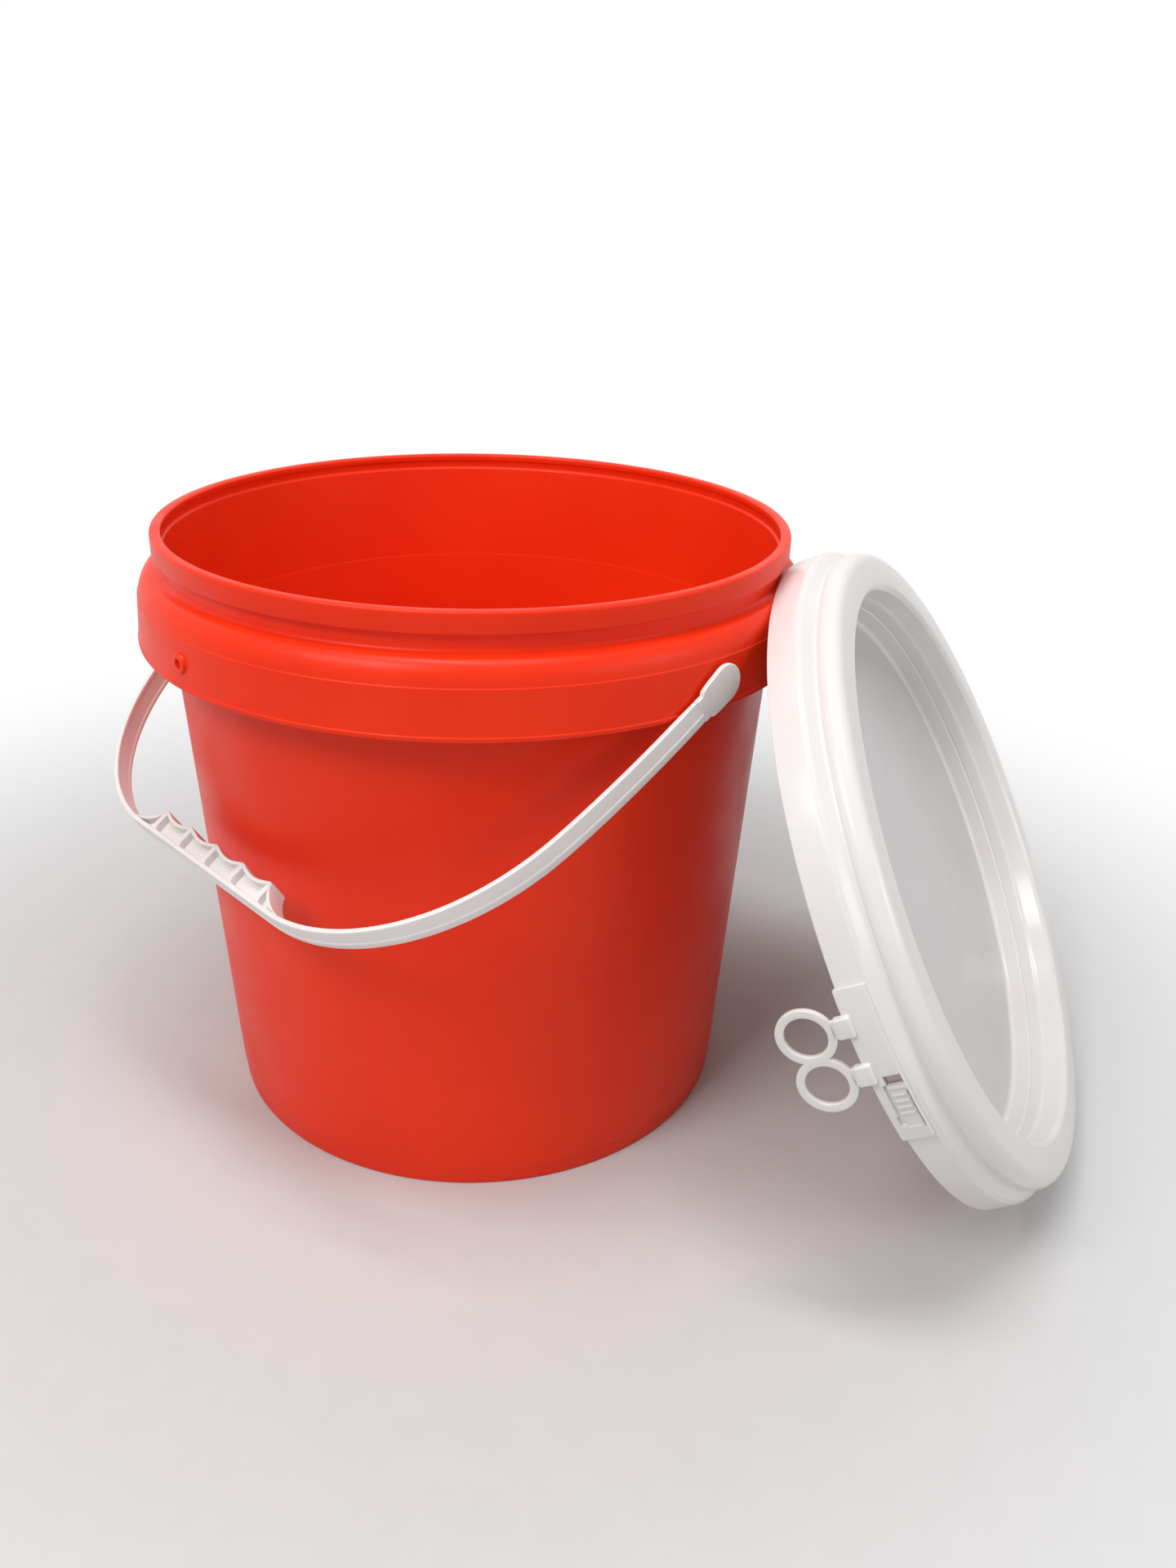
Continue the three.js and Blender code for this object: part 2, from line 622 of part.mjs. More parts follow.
function tearPad() {
  const shape = new THREE.Shape();
  shape.absarc(0, 0, LID_RADIUS + PAD_PROUD, rad(PAD_FROM), rad(PAD_TO), false);
  shape.absarc(0, 0, LID_RADIUS - LID_WALL + FUSE / 2, rad(PAD_TO), rad(PAD_FROM), true);
  const pad = new THREE.ExtrudeGeometry(shape, {
    depth: PAD_HIGH - PAD_LOW, bevelEnabled: false, curveSegments: ROUND_STEPS / 2,
  });
  pad.translate(0, 0, PAD_LOW);
  return solid(pad);
}

function pullRings() {
  let rings;
  for (const side of [1, -1]) {
    const shape = new THREE.Shape();
    shape.absarc(side * PULL_RING_OFFSET, PULL_RING_LEVEL, PULL_RING_RADIUS, 0, Math.PI * 2, false);
    const ring = onBand(slab(shape, PULL_THICKNESS), PULL_AT, LID_RADIUS);
    rings = rings ? rings.add(ring) : ring;
    const tabX = side * TAB_PITCH / 2 + TAB_SHIFT;
    const tab = new THREE.BoxGeometry(TAB_WIDTH, TAB_TOP - PULL_RING_LEVEL, PULL_THICKNESS);
    tab.translate(tabX, (TAB_TOP + PULL_RING_LEVEL) / 2, PULL_THICKNESS / 2);
    rings = rings.add(onBand(tab, PULL_AT, LID_RADIUS));
    const block = new THREE.BoxGeometry(TAB_WIDTH, TAB_BLOCK_HEIGHT, PULL_THICKNESS + TAB_RAISE);
    block.translate(tabX, TAB_TOP - TAB_BLOCK_HEIGHT / 2, (PULL_THICKNESS + TAB_RAISE) / 2 - FUSE / 2);
    rings = rings.add(onBand(block, PULL_AT, LID_RADIUS));
  }
  for (const side of [1, -1]) {
    const hole = new THREE.Shape();
    hole.absarc(side * PULL_RING_OFFSET, PULL_RING_LEVEL, PULL_HOLE_RADIUS, 0, Math.PI * 2, false);
    const plug = slab(hole, PULL_THICKNESS * 3).translate(0, 0, -PULL_THICKNESS);
    rings = rings.subtract(onBand(plug, PULL_AT, LID_RADIUS));
  }
  return rings;
}

// Window and tongue that release the tear band
function latchCuts() {
  const face = LID_RADIUS + PAD_PROUD;
  const middle = (WINDOW_AT + TONGUE_TO) / 2;
  const length = along(WINDOW_AT, TONGUE_TO);
  const window = bandBlock(
    WINDOW_AT, WINDOW_WIDTH, WINDOW_LOW, WINDOW_LOW + WINDOW_HEIGHT, LID_RADIUS - LID_WALL * 4, face + FUSE);
  const lower = bandBlock(middle, length, TONGUE_LOW - SLOT_WIDTH, TONGUE_LOW, face - SLOT_DEPTH, face + FUSE);
  const upper = bandBlock(
    middle, length, TONGUE_HIGH, TONGUE_HIGH + SLOT_WIDTH, face - SLOT_DEPTH, face + FUSE);
  return window.add(lower).add(upper);
}

function tongueRibs() {
  const face = LID_RADIUS + PAD_PROUD;
  let ribs;
  for (let i = 0; i < TONGUE_RIBS; i += 1) {
    const rib = bandBlock(
      TONGUE_RIB_FROM + TONGUE_RIB_STEP * i, TONGUE_RIB_WIDTH, TONGUE_LOW + FUSE, TONGUE_HIGH - FUSE,
      face - FUSE, face + TONGUE_RIB_PROUD);
    ribs = ribs ? ribs.add(rib) : rib;
  }
  return ribs;
}

function lid() {
  return turned(lidOutline()).add(tearPad()).subtract(latchCuts()).add(tongueRibs()).add(pullRings());
}

// The lid's edge stands on the floor and its upper edge lies in the groove under the rim bead
function lidMatrix() {
  const restHeight = beadBottom - LEAN_SEAT;
  const tilt = Math.asin(restHeight / (2 * LID_RADIUS));
  const outward = new THREE.Vector3(cos(LEAN_AZIMUTH), sin(LEAN_AZIMUTH), 0);
  const side = new THREE.Vector3(-sin(LEAN_AZIMUTH), cos(LEAN_AZIMUTH), 0);
  const up = new THREE.Vector3(0, 0, 1);
  const axis = outward.clone().multiplyScalar(Math.sin(tilt)).addScaledVector(up, Math.cos(tilt));
  const slope = outward.clone().multiplyScalar(Math.cos(tilt)).addScaledVector(up, -Math.sin(tilt));
  const centre = outward.clone().multiplyScalar(NECK_RADIUS + LEAN_GAP + LID_RADIUS * Math.cos(tilt));
  centre.addScaledVector(side, LEAN_SIDE_SHIFT);
  centre.z = LID_RADIUS * Math.sin(tilt);
  return new THREE.Matrix4().makeBasis(slope, side, axis).setPosition(centre);
}

const redPlastic = new THREE.MeshStandardMaterial({ color: 0xe2321c, roughness: 0.42, metalness: 0 });
const whitePlastic = new THREE.MeshStandardMaterial({ color: 0xebe7e8, roughness: 0.35, metalness: 0 });
const lidPlastic = new THREE.MeshStandardMaterial({ color: 0xe4dfe2, roughness: 0.28, metalness: 0 });

const bucket = new THREE.Group();
bucket.name = 'plastic_bucket';
bucket.add(named('bucket', pail(), redPlastic, new THREE.Matrix4()));
bucket.add(named('bail_handle', bail(), whitePlastic, bailMatrix()));
bucket.add(named('lid', lid(), lidPlastic, lidMatrix()));

export default bucket;
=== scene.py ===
import math

import bmesh
import bpy
from mathutils import Matrix, Vector


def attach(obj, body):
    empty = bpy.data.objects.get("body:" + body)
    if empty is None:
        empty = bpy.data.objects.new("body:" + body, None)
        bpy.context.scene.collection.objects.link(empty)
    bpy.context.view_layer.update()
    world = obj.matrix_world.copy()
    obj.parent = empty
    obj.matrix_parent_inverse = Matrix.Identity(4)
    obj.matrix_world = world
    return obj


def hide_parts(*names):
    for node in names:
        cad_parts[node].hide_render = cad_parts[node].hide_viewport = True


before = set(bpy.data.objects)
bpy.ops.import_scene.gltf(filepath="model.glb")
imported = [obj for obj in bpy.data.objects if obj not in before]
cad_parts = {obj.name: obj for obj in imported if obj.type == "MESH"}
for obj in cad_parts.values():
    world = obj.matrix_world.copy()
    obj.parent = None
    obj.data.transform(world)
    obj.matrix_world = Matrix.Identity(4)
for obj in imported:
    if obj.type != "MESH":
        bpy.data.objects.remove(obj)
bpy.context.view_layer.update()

MM = 0.001
rad = math.radians
col = bpy.context.scene.collection


# Helpers for shapes, in millimetres until the object is made

def rounded(points, steps=4):
    """Turns corners (x, y, radius) into a line with soft corners."""
    out = []
    n = len(points)
    for i, (x, y, r) in enumerate(points):
        here = Vector((x, y))
        if r <= 0 or i in (0, n - 1):
            out.append(here)
            continue
        before = Vector(points[i - 1][:2])
        after = Vector(points[i + 1][:2])
        a = here + (before - here).normalized() * min(r, (before - here).length * 0.48)
        b = here + (after - here).normalized() * min(r, (after - here).length * 0.48)
        for k in range(steps + 1):
            t = k / steps
            out.append(a * (1 - t) ** 2 + here * 2 * t * (1 - t) + b * t * t)
    return out


def curve2(a, c, b, steps=8):
    """Quadratic curve as corner points without their own rounding."""
    a, c, b = Vector(a), Vector(c), Vector(b)
    pts = []
    for k in range(steps + 1):
        t = k / steps
        p = a * (1 - t) ** 2 + c * 2 * t * (1 - t) + b * t * t
        pts.append((p.x, p.y, 0))
    return pts


def cubic(a, c, d, b, steps):
    """Cubic curve from a to b with the handles c and d."""
    a, c, d, b = Vector(a), Vector(c), Vector(d), Vector(b)
    pts = []
    for k in range(steps + 1):
        t = k / steps
        s = 1 - t
        pts.append(a * s ** 3 + c * 3 * s * s * t + d * 3 * s * t * t + b * t ** 3)
    return pts


def make(name, verts, faces, matrix):
    """New object from points in millimetres, then placed by a matrix in metres."""
    mesh = bpy.data.meshes.new(name)
    mesh.from_pydata([tuple(v) for v in verts], [], faces)
    mesh.transform(Matrix.Scale(MM, 4))
    mesh.transform(matrix)
    mesh.update()
    ob = bpy.data.objects.new(name, mesh)
    col.objects.link(ob)
    fix_normals(ob)
    return ob


def fix_normals(ob):
    bm = bmesh.new()
    bm.from_mesh(ob.data)
    bmesh.ops.remove_doubles(bm, verts=bm.verts, dist=1e-7)
    bmesh.ops.recalc_face_normals(bm, faces=bm.faces)
    bm.to_mesh(ob.data)
    bm.free()


def smooth(ob, angle):
    """Shades smooth, with sharp edges where two faces turn by more than the angle."""
    mesh = ob.data
    for p in mesh.polygons:
        p.use_smooth = True
    bm = bmesh.new()
    bm.from_mesh(mesh)
    for e in bm.edges:
        sharp = len(e.link_faces) != 2 or e.calc_face_angle(0) > rad(angle)
        e.smooth = not sharp
    bm.to_mesh(mesh)
    bm.free()


def lathe(name, line, steps=288, matrix=Matrix.Identity(4)):
    """Turns a closed line of (radius, height) about Z. Points on the axis become one vertex."""
    verts, rows = [], []
    for p in line:
        if p.x < 1e-6:
            rows.append([len(verts)] * steps)
            verts.append(Vector((0, 0, p.y)))
        else:
            row = []
            for k in range(steps):
                a = 2 * math.pi * k / steps
                row.append(len(verts))
                verts.append(Vector((p.x * math.cos(a), p.x * math.sin(a), p.y)))
            rows.append(row)
    faces = []
    closed = line[0].x > 1e-6
    for i in range(len(rows) - (0 if closed else 1)):
        lower, upper = rows[i], rows[(i + 1) % len(rows)]
        for k in range(steps):
            q = [lower[k], lower[(k + 1) % steps], upper[(k + 1) % steps], upper[k]]
            q = list(dict.fromkeys(q))
            if len(q) > 2:
                faces.append(q)
    return make(name, verts, faces, matrix)


def plate(name, loops, thickness, edge, matrix, segments=3):
    """Flat piece with soft edges, from closed loops of points. Its middle lies at height 0."""
    data = bpy.data.curves.new(name, "CURVE")
    data.dimensions = "2D"
    data.fill_mode = "BOTH"
    data.extrude = (thickness / 2 - edge) * MM
    data.bevel_depth = edge * MM
    data.bevel_resolution = segments
    data.offset = -edge * MM
    for loop in loops:
        s = data.splines.new("POLY")
        s.points.add(len(loop) - 1)
        for p, v in zip(s.points, loop):
            p.co = (v[0] * MM, v[1] * MM, 0, 1)
        s.use_cyclic_u = True
    tmp = bpy.data.objects.new(name + "_line", data)
    col.objects.link(tmp)
    bpy.context.view_layer.update()
    mesh = bpy.data.meshes.new_from_object(tmp.evaluated_get(bpy.context.evaluated_depsgraph_get()))
    bpy.data.objects.remove(tmp)
    bpy.data.curves.remove(data)
    mesh.name = name
    mesh.transform(matrix)
    ob = bpy.data.objects.new(name, mesh)
    col.objects.link(ob)
    fix_normals(ob)
    return ob


def arc(x, y, r, a0, a1, steps):
    """Points round (x, y) from angle a0 to a1, in degrees."""
    turns = [rad(a0 + (a1 - a0) * k / steps) for k in range(steps + 1)]
    return [(x + r * math.cos(t), y + r * math.sin(t)) for t in turns]


def circle(x, y, r):
    return arc(x, y, r, 0, 360, 64)[:-1]


def mm_matrix(m):
    """Matrix whose translation is given in millimetres."""
    m = m.copy()
    m.translation = m.translation * MM
    return m


def basis(x, y, z, at):
    """Matrix with three directions as its axes, and its origin given in millimetres."""
    m = Matrix((x, y, z)).transposed().to_4x4()
    m.translation = Vector(at)
    return mm_matrix(m)


def join(name, parts):
    """Puts the meshes of several objects into one new object and removes them."""
    bm = bmesh.new()
    for p in parts:
        bm.from_mesh(p.data)
    mesh = bpy.data.meshes.new(name)
    bm.to_mesh(mesh)
    bm.free()
    for p in parts:
        bpy.data.objects.remove(p)
    ob = bpy.data.objects.new(name, mesh)
    col.objects.link(ob)
    return ob


def cut(ob, cutters):
    """Cuts the cutters out of an object and removes them."""
    tool = join(ob.name + "_cutter", cutters)
    mod = ob.modifiers.new("cut", "BOOLEAN")
    mod.operation = "DIFFERENCE"
    mod.solver = "EXACT"
    mod.object = tool
    bpy.context.view_layer.update()
    mesh = bpy.data.meshes.new_from_object(ob.evaluated_get(bpy.context.evaluated_depsgraph_get()))
    ob.modifiers.clear()
    ob.data = mesh
    bpy.data.objects.remove(tool)
    return ob


# Sizes of the pail, in millimetres, with its foot at height 0

HEIGHT = 263.6
NECK_R = 131.5
WALL = 1.9
BEAD_HEIGHT = 8.35
NECK_HEIGHT = 5.4
SHOULDER_HEIGHT = 11.6
SKIRT_HEIGHT = 19.3
SHOULDER_OUT = 9.7
SKIRT_FLARE = 1.25
SKIRT_WALL = 1.8
LIP_OUT = 0.2
PIVOT_DROP = 34.4
TAPER = math.tan(rad(3.37))

BEAD_BOTTOM = HEIGHT - BEAD_HEIGHT
NECK_BOTTOM = BEAD_BOTTOM - NECK_HEIGHT
SKIRT_TOP = NECK_BOTTOM - SHOULDER_HEIGHT
SKIRT_BOTTOM = SKIRT_TOP - SKIRT_HEIGHT
SKIRT_TOP_R = NECK_R + SHOULDER_OUT
PIVOT_Z = HEIGHT - PIVOT_DROP

FLOOR_TOP = 4
FLOOR_UNDER = 2
BASE_BAND = 8
BASE_BAND_IN = 0.45
INNER_STEP = 212.6
HOLE_R = 4.85
MARK_HOLE_R = 1.9
MARK_IN = 140.4
BOSS_HOLE_R = 4.9
BOSS_IN = 137.4
BOSS_OUT = 140.9
PAST_SKIRT = 146
WEBS = 20
WEB_THICKNESS = 1.4
ROUND_STEPS = 48
SHELL_SHARP = 24
DETAIL_SHARP = 35
FINE_SHARP = 38


def wall_r(z):
    """Outer radius of the tapered wall at a height."""
    return NECK_R - (NECK_BOTTOM - z) * TAPER - 0.5


def inner_r(z):
    return wall_r(z) - WALL


def skirt_r(z):
    return SKIRT_TOP_R + SKIRT_FLARE * (SKIRT_TOP - z) / SKIRT_HEIGHT


EDGE_R = skirt_r(SKIRT_BOTTOM) + LIP_OUT


def pail_line():
    """Outline of the pail: under the floor, up the outside, over the rim and down the inside."""
    band_r = wall_r(BASE_BAND) - BASE_BAND_IN
    foot = band_r - BASE_BAND * TAPER
    under = NECK_BOTTOM - 3.6
    mouth = NECK_R - 1.5
    pts = [(0, FLOOR_UNDER, 0), (foot - 5.2, FLOOR_UNDER, 0.8), (foot - 4, 0, 0.5), (foot, 0, 1.3),
           (band_r, 7.8, 0.25), (wall_r(8.3), 8.5, 0.5),
           (wall_r(under), under, 1.2), (NECK_R + 2.9, under - 0.6, 1)]
    pts += curve2((NECK_R + 3.2, under - 0.7), (NECK_R + 6, under - 1.8),
                  (skirt_r(SKIRT_TOP) - SKIRT_WALL, SKIRT_TOP))
    pts += [(skirt_r(SKIRT_BOTTOM) - SKIRT_WALL, SKIRT_BOTTOM, 0.3), (EDGE_R, SKIRT_BOTTOM, 0.45),
            (EDGE_R, SKIRT_BOTTOM + 1.7, 0.25), (skirt_r(SKIRT_BOTTOM + 2), SKIRT_BOTTOM + 1.95, 0.25),
            (SKIRT_TOP_R, SKIRT_TOP - 0.05, 0.3), (SKIRT_TOP_R - 0.32, SKIRT_TOP + 0.2, 0.25)]
    pts += curve2((SKIRT_TOP_R - 0.5, SKIRT_TOP + 1.2), (SKIRT_TOP_R - 1.94, NECK_BOTTOM - 3.96),
                  (NECK_R + 4.07, NECK_BOTTOM - 2.45), 10)
    pts += curve2((NECK_R + 3.9, NECK_BOTTOM - 2.4), (NECK_R, NECK_BOTTOM - 2), (NECK_R, NECK_BOTTOM), 8)
    pts += [(NECK_R, BEAD_BOTTOM, 0.5), (NECK_R + 2.5, BEAD_BOTTOM, 0.4)]
    pts += curve2((NECK_R + 2.5, HEIGHT - 1.5), (NECK_R + 2.5, HEIGHT), (NECK_R + 1.0, HEIGHT), 6)
    pts += [(mouth + 0.6, HEIGHT, 0.3), (mouth - 0.5, HEIGHT - 0.6, 0.5), (mouth - 0.5, HEIGHT - 3, 0.25),
            (mouth, HEIGHT - 3.35, 0.15), (mouth, HEIGHT - 6.4, 0.3),
            (inner_r(NECK_BOTTOM), HEIGHT - 6.9, 0.5), (inner_r(INNER_STEP), INNER_STEP, 0.6),
            (inner_r(INNER_STEP - 0.3) - 0.14, INNER_STEP - 0.6, 0.6)]
    top = inner_r(9) - 0.3
    pts += curve2((top, 9), (top, FLOOR_TOP), (top - 5, FLOOR_TOP))
    pts += [(0, FLOOR_TOP, 0)]
    return rounded(pts)


def at_pivot(turn):
    """Lays a turned piece level, pointing out of the pail at the height of the pivots."""
    lift = mm_matrix(Matrix.Translation((0, 0, PIVOT_Z)))
    return Matrix.Rotation(turn, 4, "Z") @ lift @ Matrix.Rotation(math.pi / 2, 4, "Y")


def cone(name, x0, x1, r0, r1, turn):
    """Round bar between two distances from the axis, with its own radius at each end."""
    line = [Vector(p) for p in ((0, x0), (r0, x0), (r1, x1), (0, x1))]
    return lathe(name, line, ROUND_STEPS, at_pivot(turn))


PIVOT_TURNS = (0, math.pi)
MARK_TURNS = (math.pi / 2, -math.pi / 2)


def make_pail():
    shell = lathe("pail_shell", pail_line())
    cutters = [cone("hole", 136, PAST_SKIRT, HOLE_R, HOLE_R, turn) for turn in PIVOT_TURNS]
    cutters += [cone("dimple", 141.1, PAST_SKIRT, MARK_HOLE_R, 2.1, turn) for turn in MARK_TURNS]
    cut(shell, cutters)
    smooth(shell, SHELL_SHARP)
    extras = []
    mark = rounded([(MARK_HOLE_R, MARK_IN, 0), (1.95, 143.09, 0.35), (3.9, 143.0, 0.8),
                    (4.25, MARK_IN, 0)], 4)
    for turn in MARK_TURNS:
        extras.append(lathe("mark", mark, ROUND_STEPS, at_pivot(turn)))
    boss = rounded([(BOSS_HOLE_R, BOSS_IN, 0.3), (7.8, BOSS_IN, 0.5), (7.85, BOSS_OUT, 0),
                    (BOSS_HOLE_R, BOSS_OUT, 0)], 3)
    for turn in PIVOT_TURNS:
        extras.append(lathe("boss", boss, ROUND_STEPS, at_pivot(turn)))
    low = SKIRT_BOTTOM + 4
    high = NECK_BOTTOM - 2.9
    web = [(wall_r(low) - 0.8, low), (skirt_r(low) - 1, low), (skirt_r(SKIRT_TOP) - 1, SKIRT_TOP),
           (wall_r(high) + 4.2, high), (wall_r(high) - 0.8, high)]
    for i in range(WEBS):
        turn = Matrix.Rotation(rad((i + 0.5) * 360 / WEBS), 4, "Z")
        stand = turn @ Matrix.Rotation(math.pi / 2, 4, "X")
        extras.append(plate("web", [web], WEB_THICKNESS, 0.15, stand, 1))
    extra = join("pail_details", extras)
    smooth(extra, DETAIL_SHARP)
    return [shell, extra]


# Bail, drawn in its own plane: x along the pivots, y up towards them, z across the ribbon

HANG = rad(57.88)
BAIL_X = (1, 0, 0)
BAIL_Y = (0, math.sin(HANG), math.cos(HANG))
BAIL_Z = (0, -math.cos(HANG), math.sin(HANG))
BAIL_M = basis(BAIL_X, BAIL_Y, BAIL_Z, (0, 0, PIVOT_Z))

EYE_GAP = 0.35
EYE_THICKNESS = 1.95
EYE_R = 7.7
EYE_LEAVES_AT = 78
BAIL_W = 10.5
BAIL_T = 2.6
BAIL_REACH = 24.3
EYE_IN = EDGE_R + EYE_GAP
EYE_OUT = EYE_IN + EYE_THICKNESS
DEPTH = EYE_IN + BAIL_REACH

ARM_TOP = 10
ARM_DEPTH = 94.5
ARM_IN = 9.3
ARM_LEAN = rad(14.6)
BEND_START = 38
BEND_END = 37
STRAIGHT_HALF = 50
STRAIGHT_STEPS = 20

GRIP_DEPTH = 11.8
GRIP_IN = DEPTH - GRIP_DEPTH
STRIP = -DEPTH + BAIL_T
FINGER_PITCH = 20
FINGER_DEPTH = 2.4
FINGER_SOFT = 0.15
GRIP_HALF = 40
GRIP_STEPS = 96
END_STEPS = 14
GRIP_SKIN = 1.7
GRIP_FLOOR = 3.4
RIB_HALF = 1.3
RIB_FOOT = 2.6
SEAT = 0.6

SNAP_FACE = 137.15
SNAP_HEAD = 3.2
SNAP_NECK_R = 4.3


def mirrored(points):
    return [Vector((-p.x, p.y)) for p in reversed(points)]


def bail_outer():
    """Outer edge of the ribbon, from one eye round to the other."""
    knee = Vector((EYE_OUT - ARM_IN, -ARM_DEPTH))
    along = Vector((-math.sin(ARM_LEAN), -math.cos(ARM_LEAN)))
    arm = cubic((EYE_OUT, -ARM_TOP), (EYE_OUT, -ARM_TOP - ARM_DEPTH / 4),
                knee - along * ARM_DEPTH / 5, knee, 40)
    bend = cubic(knee, knee + along * (BEND_START + BEND_END / 5),
                 (STRAIGHT_HALF + BEND_END, -DEPTH), (STRAIGHT_HALF, -DEPTH), 60)
    step = STRAIGHT_HALF / STRAIGHT_STEPS
    straight = [Vector((STRAIGHT_HALF - step * k, -DEPTH)) for k in range(1, STRAIGHT_STEPS + 1)]
    half = arm + bend[1:] + straight
    return half + mirrored(half[:-1])


def ribbon_section(t):
    """Section of the ribbon: (depth from the outer edge, place across), with a ridge along it."""
    h = BAIL_W / 2
    pts = [(0.6, h, 0.5), (0.34, -1.1, 0.1), (0.0, -1.5, 0.2), (0.0, -2.6, 0.2), (0.5, -h, 0.5),
           (t, -h, 0.4), (t, -h + 1.5, 0.3), (t - 0.35, -h + 2.2, 0.5), (t - 0.35, h - 2.2, 0.5),
           (t, h - 1.5, 0.3), (t, h, 0.4)]
    ring = [pts[-1]] + pts + [pts[0]]
    return rounded(ring, 3)[1:-1]


def make_ribbon():
    pts = bail_outer()
    verts, faces = [], []
    count = len(ribbon_section(BAIL_T))
    for i, p in enumerate(pts):
        run = (pts[min(i + 1, len(pts) - 1)] - pts[max(i - 1, 0)]).normalized()
        inward = Vector((run.y, -run.x))
        reach = min(max((-p.y - ARM_TOP) / 15, 0), 1)
        for depth, across in ribbon_section(EYE_THICKNESS + (BAIL_T - EYE_THICKNESS) * reach):
            verts.append(Vector((p.x + inward.x * depth, p.y + inward.y * depth, across)))
    for i in range(len(pts) - 1):
        for j in range(count):
            a = i * count + j
            b = i * count + (j + 1) % count
            faces.append([a, b, b + count, a + count])
    faces.append(list(range(count)))
    faces.append([len(verts) - count + k for k in range(count)])
    return make("ribbon", verts, faces, BAIL_M)


def finger(x):
    """Depth of the scalloped inner edge of the grip."""
    s = math.sin(math.pi * (x + GRIP_HALF) / FINGER_PITCH)
    return GRIP_IN + FINGER_DEPTH * (math.sqrt(s * s + FINGER_SOFT ** 2) - FINGER_SOFT)


def grip_end(inset):
    """Hollow line from the last peak down to the strip."""
    drop = STRIP + GRIP_IN
    return cubic((GRIP_HALF + inset / 2, -GRIP_IN - inset),
                 (GRIP_HALF + 3.2 - inset / 2, -GRIP_IN - inset + drop * 0.5),
                 (GRIP_HALF + 9.5 - inset, STRIP), (GRIP_HALF + 19 - inset * 3, STRIP), END_STEPS)


def grip_line(inset):
    """Top line of the grip with both its ends, set in by an inset."""
    xs = [-GRIP_HALF + 2 * GRIP_HALF * i / GRIP_STEPS for i in range(GRIP_STEPS + 1)]
    end = grip_end(inset)[1:]
    return mirrored(end) + [Vector((x, -finger(x) - inset)) for x in xs] + end


def make_grip():
    outer = grip_line(0)
    inner = grip_line(GRIP_SKIN)
    foot = STRIP - 0.8
    loop = outer + [Vector((61, foot)), Vector((57.5, foot))] + inner[::-1]
    loop += [Vector((-57.5, foot)), Vector((-61, foot))]
    parts = [plate("grip_skin", [loop], BAIL_W - 0.1, 0.5, BAIL_M)]
    web = [Vector((p.x, p.y - 0.8)) for p in outer[3:-3]]
    web += [Vector((56, STRIP - SEAT)), Vector((-56, STRIP - SEAT))]
    parts.append(plate("grip_web", [web], GRIP_FLOOR, 0.1, BAIL_M, 1))
    for k in range(2 * GRIP_HALF // FINGER_PITCH + 1):
        x = -GRIP_HALF + FINGER_PITCH * k
        top = -finger(x) - 0.8
        loop = [(x - RIB_HALF, top), (x + RIB_HALF, top), (x + RIB_HALF, STRIP + 1.6),
                (x + RIB_FOOT, STRIP - 0.5), (x - RIB_FOOT, STRIP - 0.5), (x - RIB_HALF, STRIP + 1.6)]
        parts.append(plate("grip_rib", [loop], BAIL_W - 0.5, 0.2, BAIL_M, 1))
    return parts


def eye_loop():
    """Outline of an eye: round at the pivot, then straight down to a step where the arm begins."""
    h = BAIL_W / 2
    leave = rad(EYE_LEAVES_AT)
    pts = arc(0, 0, EYE_R, EYE_LEAVES_AT, 360 - EYE_LEAVES_AT, 60)
    neck = rounded([(EYE_R * math.cos(leave), -EYE_R * math.sin(leave), 0), (7, -7.3, 2),
                    (11.3, -6.6, 1.3), (12.2, -h, 0.7), (15, -h, 0)], 5)
    return pts + [tuple(p) for p in neck[1:]] + [(p.x, -p.y) for p in reversed(neck[1:])]


def make_bail():
    parts = [make_ribbon()] + make_grip()
    lay = basis((0, -1, 0), (0, 0, -1), (1, 0, 0), (EYE_IN + EYE_THICKNESS / 2, 0, 0))
    head = SNAP_FACE - SNAP_HEAD
    root = EYE_IN + 0.5
    pin = rounded([(0, head, 0), (4, head, 0.5), (5.5, SNAP_FACE, 0.3), (SNAP_NECK_R, SNAP_FACE, 0.2),
                   (SNAP_NECK_R, root, 0), (0, root, 0)], 3)
    for side in (0, math.pi):
        spin = BAIL_M @ Matrix.Rotation(side, 4, "Y")
        parts.append(plate("eye", [eye_loop()], EYE_THICKNESS, 0.55, spin @ lay, 4))
        parts.append(lathe("pin", pin, ROUND_STEPS, spin @ Matrix.Rotation(math.pi / 2, 4, "Y")))
    ob = join("bail", parts)
    smooth(ob, FINE_SHARP)
    return [ob]


# Lid, drawn on its own axis with the skirt's edge at height 0

LID_R = 142.74
LID_H = 26.3
LID_WALL = 1.7
LID_TURN = rad(26.92)
LID_ASIDE = 13.4
LEAN_GAP = 1.3
LEAN_DROP = 3.65

BAND_H = 11.6
BAND_IN = 0.7
GROOVE_R = 136.9
FLANGE_R = 132.6
PLUG_R = 123.0
DISH_R = 118.2
PANEL_UNDER = 0.9
PANEL_TOP = 2.6

PAD_R = LID_R + 1.3
PAD_START = -100.3
PAD_END = -74.1
WINDOW_AT = -85.35
WINDOW_WIDTH = 4.6
CUT_OUT = 1
CUT_EDGE = 0.01
RIBS = 4
RIB_AT = -82.7
RIB_PITCH = 1.15
RIB_WIDTH = 1.1

PULL_AT = -90.78
RING_R = 11.05
RING_HOLE_R = 7.8
RING_OFF = 9.9
RING_Y = -15.6
RING_THICKNESS = 2.2
RING_STEPS = 72
TAB_OFF = 9.7
TAB_SHIFT = -1.0
TAB_HALF = 4
TAB_IN = 3.2
BLOCK_THICKNESS = 3.5
BLOCK_OUT = 1.5


